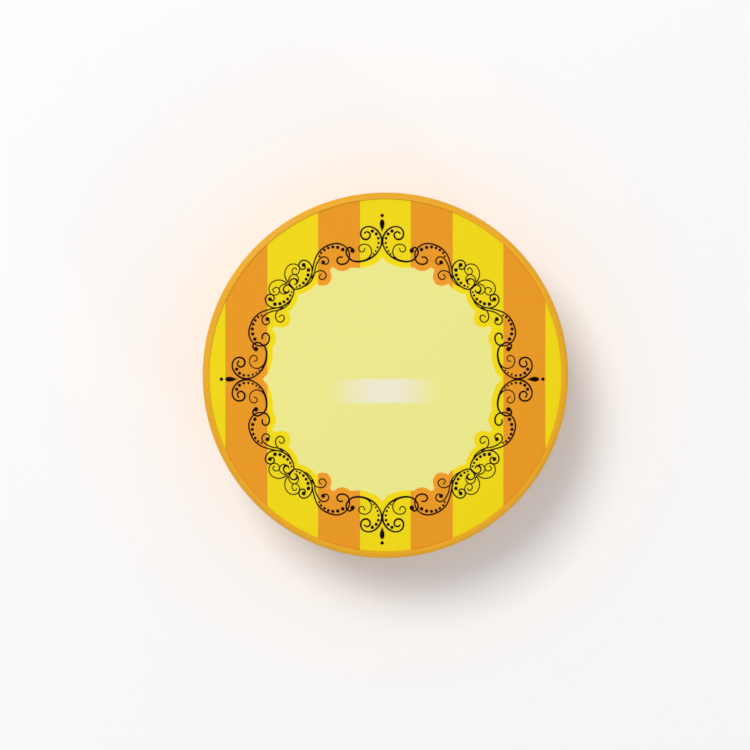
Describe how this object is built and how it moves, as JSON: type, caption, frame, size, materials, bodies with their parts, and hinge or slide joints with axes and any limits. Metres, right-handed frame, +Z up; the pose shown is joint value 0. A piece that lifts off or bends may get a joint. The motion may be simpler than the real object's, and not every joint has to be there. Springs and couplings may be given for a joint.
{
  "type": "nail polish remover pad jar",
  "caption": "Flat round screw-lid jar of soaked felt pads, with a ribbed amber lid, a striped scrollwork label, a foam liner and a foil seal.",
  "frame": {"origin": "centre of the jar's standing ring, on the table", "axes": "+Z up along the jar's axis, out of the mouth and through the lid; +Y is the top of the label"},
  "size_m": [0.065, 0.065, 0.0221],
  "materials": {
    "amber_jar": "moulded polypropylene, satin",
    "amber_lid": "moulded polypropylene, satin",
    "printed_label": "printed film label, matt",
    "foam_liner": "closed-cell polyethylene foam",
    "foil": "heat-seal aluminium membrane, satin",
    "felt": "needled nonwoven, damp"
  },
  "bodies": {
    "jar": {"jar": "amber_jar"},
    "pad_stack": {"pad_01": "felt", "pad_02": "felt", "pad_03": "felt", "pad_04": "felt", "pad_05": "felt", "pad_06": "felt", "pad_07": "felt", "pad_08": "felt", "pad_09": "felt", "pad_10": "felt", "pad_11": "felt", "pad_12": "felt", "pad_13": "felt", "pad_14": "felt", "pad_15": "felt", "pad_16": "felt", "pad_17": "felt", "pad_18": "felt", "pad_19": "felt", "pad_20": "felt", "pad_21": "felt", "pad_22": "felt", "pad_23": "felt", "pad_24": "felt", "pad_25": "felt", "pad_26": "felt", "pad_27": "felt", "pad_28": "felt", "pad_29": "felt", "pad_30": "felt", "pad_31": "felt"},
    "top_pad": {"pad_32": "felt"},
    "seal": {"foil_seal": "foil"},
    "liner": {"lid_liner": "foam_liner"},
    "lid": {"lid": "amber_lid", "lid_label": "printed_label"}
  },
  "joints": [
    {"name": "stack_lift", "type": "slide", "parent": "jar", "child": "pad_stack", "axis": [0, 0, 1], "range_m": [0, 0.02]},
    {"name": "top_pad_lift", "type": "slide", "parent": "pad_stack", "child": "top_pad", "axis": [0, 0, 1], "range_m": [0, 0.012]},
    {"name": "seal_lift", "type": "slide", "parent": "top_pad", "child": "seal", "axis": [0, 0, 1], "range_m": [0, 0.015]},
    {"name": "lid_lift", "type": "slide", "parent": "seal", "child": "liner", "axis": [0, 0, 1], "range_m": [0, 0.024]},
    {"name": "lid_turn", "type": "hinge", "parent": "liner", "child": "lid", "pos_m": [0, 0, 0.021], "axis": [0, 0, 1], "range_deg": [0, 1080]}
  ],
  "couplings": [
    {"joint": "lid_lift", "follows": "lid_turn", "m_per_rad": 0.0012732}
  ]
}
